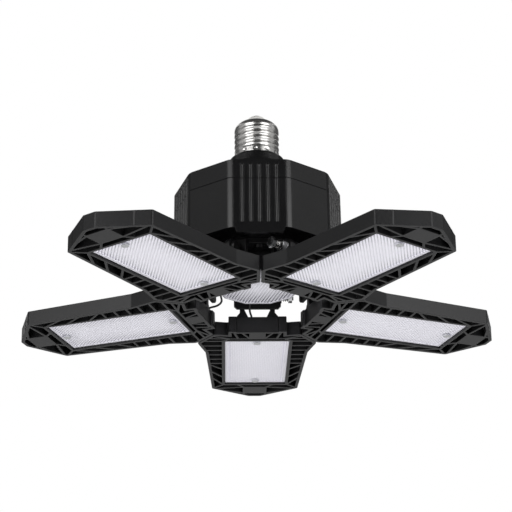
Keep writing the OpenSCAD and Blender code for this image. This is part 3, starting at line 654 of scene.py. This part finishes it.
def pick(piece, kind, rule):
    """Picks the vertices, edges or faces for which rule is true."""
    bpy.ops.mesh.select_mode(type=kind)
    mesh = bmesh.from_edit_mesh(piece.data)
    parts = {"VERT": mesh.verts, "EDGE": mesh.edges, "FACE": mesh.faces}[kind]
    for part in mesh.verts[:] + mesh.edges[:] + mesh.faces[:]:
        part.select = False
    for part in parts:
        if rule(part):
            part.select_set(True)
    mesh.select_flush_mode()
    bmesh.update_edit_mesh(piece.data)


def apply_modifier(piece, kind, **settings):
    modifier = piece.modifiers.new(kind.lower(), kind)
    for name, setting in settings.items():
        setattr(modifier, name, setting)
    only(piece)
    bpy.ops.object.modifier_apply(modifier=modifier.name)


def settle(piece, name):
    """Names a piece and writes its place into its points."""
    only(piece)
    bpy.ops.object.transform_apply(location=True, rotation=True, scale=True)
    piece.name = name
    piece.data.name = name
    return piece


def tidy_mesh(piece):
    """Joins doubled points and turns all faces outwards."""
    open_up(piece)
    bpy.ops.mesh.select_all(action="SELECT")
    bpy.ops.mesh.remove_doubles(threshold=DOUBLED)
    bpy.ops.mesh.normals_make_consistent(inside=False)
    close_up()


def smooth(piece, degrees):
    only(piece)
    bpy.ops.object.shade_smooth_by_angle(angle=math.radians(degrees))


def joined(pieces, name):
    bpy.ops.object.select_all(action="DESELECT")
    for piece in pieces:
        piece.select_set(True)
    bpy.context.view_layer.objects.active = pieces[0]
    bpy.ops.object.join()
    return settle(pieces[0], name)


def copied(piece, matrix):
    """A copy with a mesh of its own, moved by matrix."""
    copy = piece.copy()
    copy.data = piece.data.copy()
    bpy.context.scene.collection.objects.link(copy)
    copy.data.transform(matrix)
    return copy


def drop(piece):
    bpy.data.objects.remove(piece)


# %% [markdown]
# ## Turned outlines
# A cap or a screw head is a solid of revolution. A plane merged to one point is the start
# of its outline, extruding that point step by step draws it, and a spin about the axis
# closes it to a shell.

# %% Outline and spin
def outline(points):
    """A chain of edges through points (x, z)."""
    bpy.ops.object.select_all(action="DESELECT")
    bpy.ops.mesh.primitive_plane_add(size=MM, location=(points[0][0], 0, points[0][1]))
    piece = settle(bpy.context.object, "outline")
    open_up(piece)
    bpy.ops.mesh.select_all(action="SELECT")
    bpy.ops.mesh.merge(type="CENTER")
    for before, after in zip(points, points[1:]):
        step = (after[0] - before[0], 0, after[1] - before[1])
        bpy.ops.mesh.extrude_region_move(TRANSFORM_OT_translate={"value": step})
    close_up()
    return piece


def lathe(points, steps):
    """Spins an outline all the way round the Z axis."""
    piece = outline(points)
    open_up(piece)
    bpy.ops.mesh.select_all(action="SELECT")
    bpy.ops.mesh.spin(steps=steps, angle=2 * math.pi, center=(0, 0, 0), axis=(0, 0, 1))
    close_up()
    tidy_mesh(piece)
    return piece


# %% [markdown]
# ## Screw cap
# The cap's shell is drawn from sheet and its thread is rolled in, so the thread is a soft
# wave and not a cut V. A spun outline gives the plain shell. The thread and the row of
# dimples that grip the neck are then pressed in by moving each point towards the axis, by
# an amount that depends only on its height and its angle. A Solidify modifier gives the
# sheet its thickness.

# %% Screw shell
THREAD_PITCH = 3.629 * MM
THREAD_DEPTH = 0.95 * MM
THREAD_LOW = 5.0 * MM
THREAD_HIGH = 18.4 * MM
THREAD_FADE = 1.6 * MM
DIMPLE_COUNT = 12
DIMPLE_Z = 2.5 * MM
DIMPLE_R = 0.75 * MM
DIMPLE_DEPTH = 0.45 * MM
DIMPLE_TURN = math.radians(266)
SHOULDER_H = 4.8 * MM
SHOULDER_STEPS = 8
SHOULDER_POWER = 0.8  # 1 would make the shoulder a quarter of an ellipse
SHEET = 0.4 * MM
RING_STEP = 0.3 * MM
TURN_STEPS = 192
ROUND_DEGREES = 60  # edges flatter than this are shaded smooth on round pieces
shell_low, shell_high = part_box("screw_shell")
cap_r = shell_high.x
mouth_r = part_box("cap_insulator")[1].x


def thread_share(z, turn):
    """0 on a crest and 1 in a root of the right-handed thread."""
    return 0.5 - 0.5 * math.cos(2 * math.pi * (z / THREAD_PITCH - turn / (2 * math.pi)))


def eased(share):
    """Goes from 0 to 1 with a soft start and a soft end."""
    share = min(max(share, 0), 1)
    return share * share * (3 - 2 * share)


def pressed_depth(z, turn):
    """How far the sheet is pressed in at a height and an angle."""
    fade_in = eased((z - THREAD_LOW) / THREAD_FADE + 0.5)
    fade_out = eased((THREAD_HIGH - z) / THREAD_FADE + 0.5)
    depth = THREAD_DEPTH * (fade_in * fade_out) * thread_share(z, turn)
    pitch = 2 * math.pi / DIMPLE_COUNT
    nearest = (turn - DIMPLE_TURN + pitch / 2) % pitch - pitch / 2
    away = Vector((nearest * cap_r, z - DIMPLE_Z)).length
    return depth + DIMPLE_DEPTH * math.exp(-(away / DIMPLE_R) ** 2)


def screw_shell():
    shoulder_z = shell_high.z - SHOULDER_H
    rings = round((shoulder_z - shell_low.z) / RING_STEP)
    side = [(cap_r, shell_low.z + (shoulder_z - shell_low.z) * k / rings)
            for k in range(rings + 1)]
    rise = shell_high.z - shoulder_z
    reach = cap_r - mouth_r
    turns = [math.pi / 2 * k / SHOULDER_STEPS for k in range(1, SHOULDER_STEPS + 1)]
    shoulder = [(mouth_r + reach * math.cos(turn) ** SHOULDER_POWER,
                 shoulder_z + rise * math.sin(turn)) for turn in turns]
    shell = lathe(side + shoulder, TURN_STEPS)
    for vertex in shell.data.vertices:
        x, y, z = vertex.co
        if z < shoulder_z:
            share = 1 - pressed_depth(z, math.atan2(y, x)) / cap_r
            vertex.co = (x * share, y * share, z)
    apply_modifier(shell, "SOLIDIFY", thickness=SHEET, offset=-1, use_even_offset=True)
    smooth(shell, ROUND_DEGREES)
    settle(shell, "threaded_shell")
    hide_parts("screw_shell")
    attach(shell, "root")
    wear_finish(shell, "nickel_cap")
    return shell


shell = screw_shell()
print("screw shell:", len(shell.data.polygons), "faces")

# %% [markdown]
# ## Leaf lenses
# Each leaf's lens is a clear plate whose outer face is pressed with pyramids in rows
# that cross at 45 degrees to its sides. A grid turned by 45 degrees, with every square
# poked up to a point, is that pattern. Four cuts trim it to the lens, and a plate with
# rounded rims carries it in a shallow pocket. The lens is modelled once in the leaf's own
# directions. What the centre lens needs too is a function here.

# %% One leaf lens
PRISM_PITCH = 1.55 * MM
PRISM_SLOPE = 0.41    # height of a pyramid as a share of half its pitch
PRISM_BACK = 0.6 * MM
PRISM_DEGREES = 12    # edges flatter than this are shaded smooth on a lens
LENS_BORDER = 1.5 * MM
RIM_BEVEL = 0.3 * MM
POCKET_DRAFT = 0.1 * MM
POCKET_DEPTH = 0.5 * MM
FACES_DOWN = -0.99
SCREW_CLEAR = 0.5 * MM
SCREW_HOLE_SHARE = 0.6
FULL_LEAN = 0.33      # sideways lean from which a slope is as dark as it gets
SLOPE_FACING = -0.8   # faces that point down less than this are sides, not slopes
SLOPE_SHADE_FADE = 0.85    # what a stroke has lost at its full reach from the rim
LEAF_SLOPE_SHADE = {"least_lean": 0.255, "strength": 0.8, "reach": 14 * MM}
lens_low, lens_high = box_of(seen_from(first_leaf, points_of("leaf_lens_1")))
screw_low, screw_high = box_of(seen_from(first_leaf, points_of("leaf_screws_1")))
screw_head_r = (screw_high.y - screw_low.y) / 2
screw_xs = (screw_low.x + screw_head_r, screw_high.x - screw_head_r)


def trimmed(piece, point, normal):
    """Cuts away what lies beyond a plane, and leaves the cut open."""
    open_up(piece)
    bpy.ops.mesh.select_all(action="SELECT")
    bpy.ops.mesh.bisect(plane_co=point, plane_no=normal, clear_outer=True)
    close_up()


def rim_distances(lens, distance):
    """Gives each point of a lens its distance to the rim."""
    inset = lens.data.attributes.new("inset", "FLOAT", "POINT")
    for vertex in lens.data.vertices:
        inset.data[vertex.index].value = distance(vertex.co)


def paint_slope_shade(lens, least_lean, strength, reach):
    """Paints shade on the slopes that lean to the lamp's left, most of all near the rim."""
    inset = lens.data.attributes["inset"].data
    shares = []
    for face in lens.data.polygons:
        away = min(inset[k].value for k in face.vertices)
        lean = (-face.normal.x - least_lean) / (FULL_LEAN - least_lean)
        if face.normal.z > SLOPE_FACING:
            lean = 0
        fade = 1 - SLOPE_SHADE_FADE * eased(away / reach)
        shares.append(min(max(lean, 0), 1) * strength * fade)
    painted_slope_shade = lens.data.attributes.new("painted_slope_shade", "FLOAT", "FACE")
    painted_slope_shade.data.foreach_set("value", shares)


def prism_field(low, high, turn, pitch, margin):
    """Rows of pyramids that point down, between two corners of a level rectangle."""
    middle = (Vector(low) + Vector(high)) / 2
    spare = 2 * pitch
    reach = (Vector(high) - Vector(low)).length / 2 + spare
    count = 2 * math.ceil(reach / pitch)
    bpy.ops.object.select_all(action="DESELECT")
    bpy.ops.mesh.primitive_grid_add(x_subdivisions=count, y_subdivisions=count,
                                    size=count * pitch, location=middle,
                                    rotation=(math.pi, 0, turn))
    field = settle(bpy.context.object, "prism_field")
    near_x = (high[0] - low[0]) / 2 + spare
    near_y = (high[1] - low[1]) / 2 + spare
    open_up(field)
    pick(field, "VERT", lambda v: (abs(v.co.x - middle.x) > near_x
                                   or abs(v.co.y - middle.y) > near_y))
    bpy.ops.mesh.delete(type="VERT")
    bpy.ops.mesh.select_all(action="SELECT")
    bpy.ops.mesh.poke(offset=PRISM_SLOPE * pitch / 2)
    close_up()
    for axis in range(2):
        for side, corner in ((-1, low), (1, high)):
            normal = Vector((0, 0, 0))
            normal[axis] = side
            trimmed(field, Vector(corner) - normal * margin, normal)
    open_up(field)
    bpy.ops.mesh.select_all(action="SELECT")
    bpy.ops.mesh.extrude_region_move(TRANSFORM_OT_translate={"value": (0, 0, PRISM_BACK)})
    close_up()
    tidy_mesh(field)
    return field


def pocketed(plate, border):
    """Rounds a plate's rims and sinks a shallow pocket into its underside."""
    apply_modifier(plate, "BEVEL", width=RIM_BEVEL, segments=2, limit_method="ANGLE")
    open_up(plate)
    pick(plate, "FACE", lambda f: f.normal.z < FACES_DOWN)
    bpy.ops.mesh.inset(thickness=border - RIM_BEVEL, depth=0)
    bpy.ops.mesh.inset(thickness=POCKET_DRAFT, depth=-POCKET_DEPTH)
    close_up()


def cut_by(piece, cutter, operation="DIFFERENCE"):
    apply_modifier(piece, "BOOLEAN", operation=operation, object=cutter, solver="EXACT")
    drop(cutter)


def upright(sides, radius, low, high, x=0.0, turn=0.0):
    """An upright prism or rod between two heights."""
    bpy.ops.object.select_all(action="DESELECT")
    bpy.ops.mesh.primitive_cylinder_add(vertices=sides, radius=radius, depth=high - low,
                                        location=(x, 0, (low + high) / 2),
                                        rotation=(0, 0, turn))
    return settle(bpy.context.object, "upright")


def leaf_lens():
    bpy.ops.object.select_all(action="DESELECT")
    bpy.ops.mesh.primitive_cube_add(size=1, location=(lens_low + lens_high) / 2,
                                    scale=lens_high - lens_low)
    plate = settle(bpy.context.object, "lens_plate")
    pocketed(plate, LENS_BORDER)
    level = lens_low.z + POCKET_DEPTH
    field = prism_field((lens_low.x, lens_low.y, level), (lens_high.x, lens_high.y, level),
                        math.pi / 4, PRISM_PITCH, LENS_BORDER)
    below = lens_low.z - MM
    for x in screw_xs:
        cut_by(field, upright(32, screw_head_r + SCREW_CLEAR, below, lens_high.z, x))
        cut_by(plate, upright(32, screw_head_r * SCREW_HOLE_SHARE, below, lens_high.z + MM, x))
    lens = joined([plate, field], "lens_model")
    smooth(lens, PRISM_DEGREES)
    rim_distances(lens, lambda p: min(p.x - lens_low.x, lens_high.x - p.x,
                                      p.y - lens_low.y, lens_high.y - p.y))
    return lens


lens_model = leaf_lens()
print("leaf lens:", len(lens_model.data.polygons), "faces")

# %% The lens on every leaf
for joint in hinges:
    number = leaf_number(joint)
    lens = copied(lens_model, leaf_matrix(joint))
    lens.name = "prism_lens_" + number
    paint_slope_shade(lens, **LEAF_SLOPE_SHADE)
    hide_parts("leaf_lens_" + number)
    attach(lens, joint["child"])
    wear_finish(lens, "lens_clear")
drop(lens_model)
print("lenses on", len(hinges), "leaves")

# %% [markdown]
# ## Centre lens
# The centre lens is a ten-sided plate with the same kind of pyramids, in rows that run
# along the line between two near leaves and across it. It is cut from a square field of
# pyramids by a ten-sided prism.

# %% Centre lens
CENTRE_PITCH = 1.78 * MM
CENTRE_TURN = math.radians(15)
CENTRE_BORDER = 1.2 * MM
CENTRE_SLOPE_SHADE = {"least_lean": -0.30, "strength": 1.0, "reach": 22 * MM}
CORE_SIDES = 10
centre_low, centre_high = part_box("centre_lens")
core_r = max(Vector(point[:2]).length for point in points_of("centre_lens"))


def decagon(radius, low, high):
    return upright(CORE_SIDES, radius, low, high, turn=math.pi / 2)


def centre_lens():
    plate = decagon(core_r, centre_low.z, centre_high.z)
    pocketed(plate, CENTRE_BORDER)
    level = centre_low.z + POCKET_DEPTH
    field = prism_field((-core_r, -core_r, level), (core_r, core_r, level),
                        CENTRE_TURN, CENTRE_PITCH, -CENTRE_PITCH)
    flatness = math.cos(math.pi / CORE_SIDES)
    keep = decagon(core_r - CENTRE_BORDER / flatness, level - MM, level + MM)
    cut_by(field, keep, "INTERSECT")
    lens = joined([plate, field], "prism_lens_centre")
    smooth(lens, PRISM_DEGREES)
    apothem = core_r * flatness
    sides = [direction(math.radians(360 / CORE_SIDES * (k + 0.5)), 0) for k in range(CORE_SIDES)]
    rim_distances(lens, lambda p: apothem - max(p.dot(side) for side in sides))
    paint_slope_shade(lens, **CENTRE_SLOPE_SHADE)
    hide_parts("centre_lens")
    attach(lens, "root")
    wear_finish(lens, "lens_clear")
    return lens


lens = centre_lens()
print("centre lens:", len(lens.data.polygons), "faces")

# %% [markdown]
# ## Coils
# A spring is a round wire wound into a helix. It comes from the Screw modifier: a small
# outline beside the axis, carried round and along it. The ends are closed afterwards.

# %% A wound outline
def wound(points, pitch, turns, steps):
    """Carries a closed outline of points (x, z) round the Z axis and along it."""
    piece = outline(points + points[:1])
    tidy_mesh(piece)
    apply_modifier(piece, "SCREW", axis="Z", screw_offset=pitch, angle=2 * math.pi,
                   iterations=turns, steps=steps, render_steps=steps,
                   use_merge_vertices=False)
    open_up(piece)
    pick(piece, "EDGE", lambda e: e.is_boundary)
    bpy.ops.mesh.fill_holes(sides=0)
    close_up()
    tidy_mesh(piece)
    return piece


def ring_points(radius, wire_r, z, sides):
    """The outline of a round wire that stands radius away from the axis."""
    turns = [2 * math.pi * k / sides for k in range(sides)]
    return [(radius + wire_r * math.cos(turn), z + wire_r * math.sin(turn)) for turn in turns]


# %% [markdown]
# ## Hinge springs
# On each cross screw a short spring between washer and nut presses the ears on the lugs,
# and that friction holds a leaf where it is put. Three open turns of bright wire. The
# picture shows bright hardware here but not its order, so the order is a guess.

# %% Hinge springs
SPRING_WIRE = 0.55 * MM
SPRING_TURNS = 3
WIRE_SIDES = 10
COIL_STEPS = 32


def near_first_leaf(node):
    """The points of a group's copy at the first leaf, seen along that leaf's hub."""
    return [p for p in seen_from(first_hub, points_of(node))
            if abs(math.atan2(p.y, p.x)) < math.pi / len(hinges)]


def along_hinge(piece):
    """Lays a piece made along Z on the first hinge, with its top towards minus y."""
    place = Matrix.Translation((hinge_r, 0, hinge_z)) @ Matrix.Rotation(math.pi / 2, 4, "X")
    piece.data.transform(place)


def on_every_hinge(model, name, node, slot):
    """Copies a piece from the first hinge to all five, as one group on the hub."""
    copies = [copied(model, hub_matrix(joint)) for joint in hinges]
    drop(model)
    group = joined(copies, name)
    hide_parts(node)
    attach(group, "root")
    wear_finish(group, slot)
    return group


def hinge_springs():
    low, high = box_of(near_first_leaf("hinge_springs"))
    coil_r = (high.x - low.x) / 2 - SPRING_WIRE / 2
    start = -high.y + SPRING_WIRE / 2
    rise = high.y - low.y - SPRING_WIRE
    wire = ring_points(coil_r, SPRING_WIRE / 2, start, WIRE_SIDES)
    coil = wound(wire, rise / SPRING_TURNS, SPRING_TURNS, COIL_STEPS)
    smooth(coil, ROUND_DEGREES)
    along_hinge(coil)
    return on_every_hinge(coil, "wound_springs", "hinge_springs", "spring_steel")


springs = hinge_springs()
print("springs:", len(springs.data.polygons), "faces")

# %% [markdown]
# ## Leads
# A thin black lead runs from a hole in the hub to each leaf's block. It bends when the
# leaf turns. The routes are the same points that the solids follow, here drawn as smooth
# curves.
#
# A blend mixes two places for each point, and it keeps neither length nor thickness.
# These routes are too short for the turn. With a leaf folded a quarter turn, the first
# lead comes out 1.9 times as long and the others 1.57 times, and all swell on the way. A
# real lead would need that much slack from the start.

# %% Leads
LEAD_D = 1.2 * MM
LEAD_RING = 3   # 4 sides and two more for each of these, so 10 round the lead
LEAD_STEPS = 6  # stretches between two points of its route
SHORT_ROUTE = [(21.39, 4, 19.3), (23.19, 4, 18.8), (25.41, 4.2, 17.2), (27.62, 4.5, 15.2),
               (29.78, 4.5, 12.8), (32.02, 4, 11.4), (33.6, 3.6, 11), (34.68, 3.4, 9.8),
               (34.68, 3.4, 8)]
SLACK_ROUTE = [(21.39, -3.6, 19.3), (22.99, -3.7, 18.8), (24.23, -4.2, 16.8), (24.37, -6.4, 14.8),
               (24.99, -9.2, 13.4), (27.42, -11.8, 12.6), (30.2, -12.9, 12.2), (33.02, -13.3, 12),
               (35.18, -13.4, 11), (35.43, -13.4, 9.6), (35.43, -13.4, 8)]
ROUTES = [SHORT_ROUTE] + 4 * [SLACK_ROUTE]
ROUTE_ZERO = hinge_z - 24 * MM  # the routes' heights count from here


def lead(joint, route):
    matrix = hub_matrix(joint)
    places = [matrix @ Vector((x * MM, y * MM, z * MM + ROUTE_ZERO)) for x, y, z in route]
    curve = bpy.data.curves.new("lead", "CURVE")
    curve.dimensions = "3D"
    curve.bevel_depth = LEAD_D / 2
    curve.bevel_resolution = LEAD_RING
    curve.use_fill_caps = True
    curve.resolution_u = LEAD_STEPS
    spline = curve.splines.new("BEZIER")
    spline.bezier_points.add(len(places) - 1)
    for knot, place in zip(spline.bezier_points, places):
        knot.co = place
        knot.handle_left_type = "AUTO"
        knot.handle_right_type = "AUTO"
    piece = bpy.data.objects.new("lead", curve)
    bpy.context.scene.collection.objects.link(piece)
    only(piece)
    bpy.ops.object.convert(target="MESH")
    piece = bpy.context.object
    number = leaf_number(joint)
    settle(piece, "bent_lead_" + number)
    tidy_mesh(piece)
    smooth(piece, ROUND_DEGREES)
    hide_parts("leaf_lead_" + number)
    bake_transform(piece)
    wear_finish(piece, "lead_black")
    return piece


leads = [lead(joint, route) for joint, route in zip(hinges, ROUTES)]
print(len(leads), "leads")
